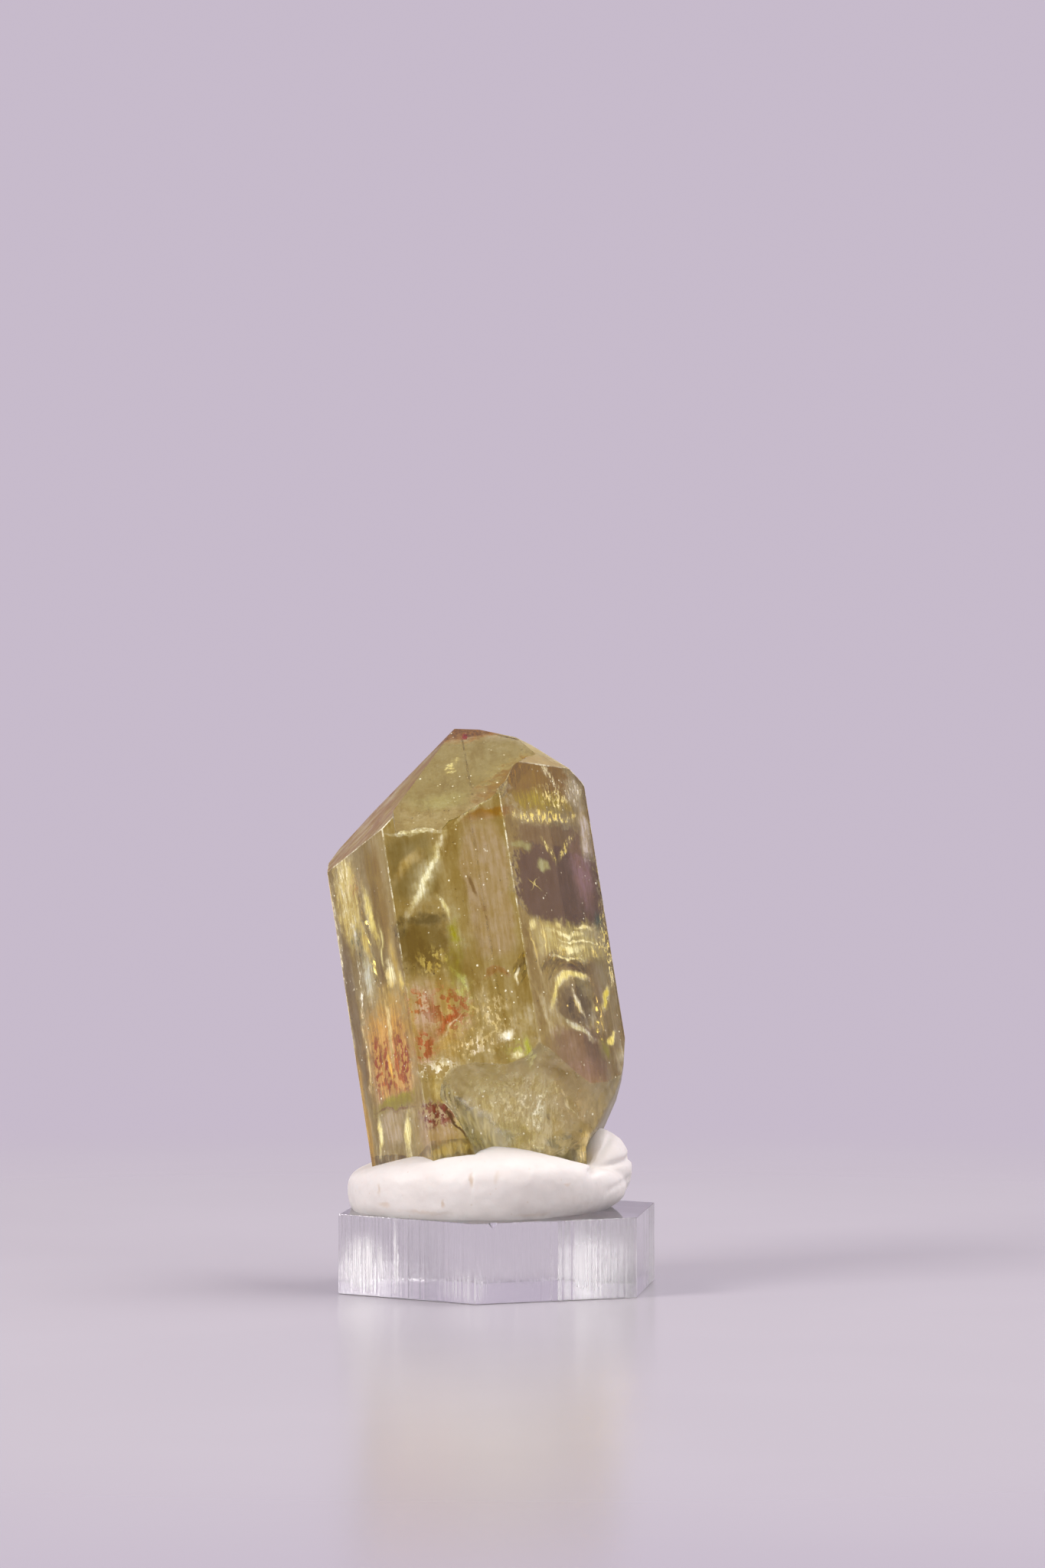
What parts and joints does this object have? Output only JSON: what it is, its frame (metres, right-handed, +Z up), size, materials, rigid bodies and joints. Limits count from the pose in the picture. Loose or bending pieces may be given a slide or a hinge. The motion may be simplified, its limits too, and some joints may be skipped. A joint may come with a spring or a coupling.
{
  "type": "apatite crystal specimen",
  "caption": "Yellow-green hexagonal apatite crystal with a pyramid tip and a broken foot, standing in a pressed lump of white putty on a clear hexagonal acrylic block",
  "frame": {"origin": "middle of the block's underside, on the surface it stands on", "axes": "+Z up; -Y to the front corner of the block, which the broken foot of the crystal faces; the crystal leans towards -X and back towards +Y"},
  "size_m": [0.0274, 0.0287, 0.0451],
  "materials": {
    "apatite_crystal": "glossy clear yellow-green, with rust stains and bright breaks inside",
    "mineral_putty": "soft warm white putty, finger pressed",
    "acrylic_base": "clear, polished top and underside, sawn striated sides"
  },
  "bodies": {
    "root": {"apatite_crystal": "apatite_crystal", "mineral_putty": "mineral_putty", "acrylic_base": "acrylic_base"}
  },
  "joints": []
}
